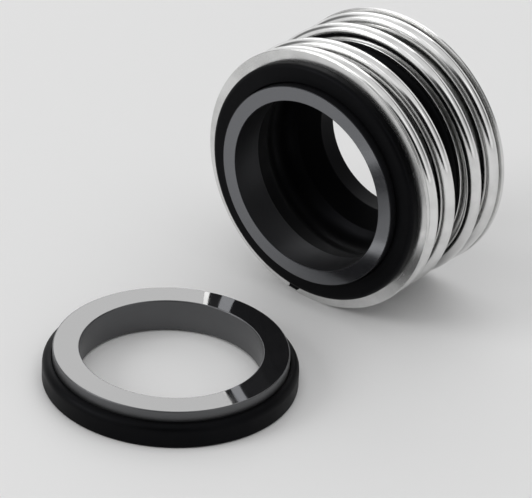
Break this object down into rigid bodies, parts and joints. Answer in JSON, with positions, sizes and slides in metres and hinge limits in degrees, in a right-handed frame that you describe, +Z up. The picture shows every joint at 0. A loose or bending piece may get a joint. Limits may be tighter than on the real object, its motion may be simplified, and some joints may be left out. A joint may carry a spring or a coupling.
{
  "type": "component mechanical seal",
  "caption": "Rubber-bellows mechanical seal: a spring-loaded head with a lapped face ring, and its stationary seat in a rubber cup, for sealing a rotating pump shaft.",
  "frame": {"origin": "bottom centre of the bounding box of the set as it lies, on the surface it rests on", "axes": "+Y along the head's shaft axis from its sealing face to its rear flange, +Z up and along the seat's own axis, out of its lapped face"},
  "size_m": [0.037, 0.0626, 0.037],
  "materials": {
    "face_carbon": "fine-lapped dark grey",
    "seat_ceramic": "mirror-lapped dark grey",
    "black_rubber": "satin moulded",
    "stainless_sheet": "bright tumbled",
    "spring_steel": "bright drawn"
  },
  "bodies": {
    "shaft_end": {"rear_collar": "stainless_sheet", "bellows": "black_rubber", "spring": "spring_steel", "seat_ring": "seat_ceramic", "seat_cup": "black_rubber"},
    "face_end": {"seal_face": "face_carbon", "front_collar": "stainless_sheet"}
  },
  "joints": [
    {"name": "face_travel", "type": "slide", "parent": "shaft_end", "child": "face_end", "axis": [0, 1, 0], "range_m": [0, 0.004], "stiffness_N_per_m": 1000, "deforming": ["spring", "bellows"]}
  ]
}
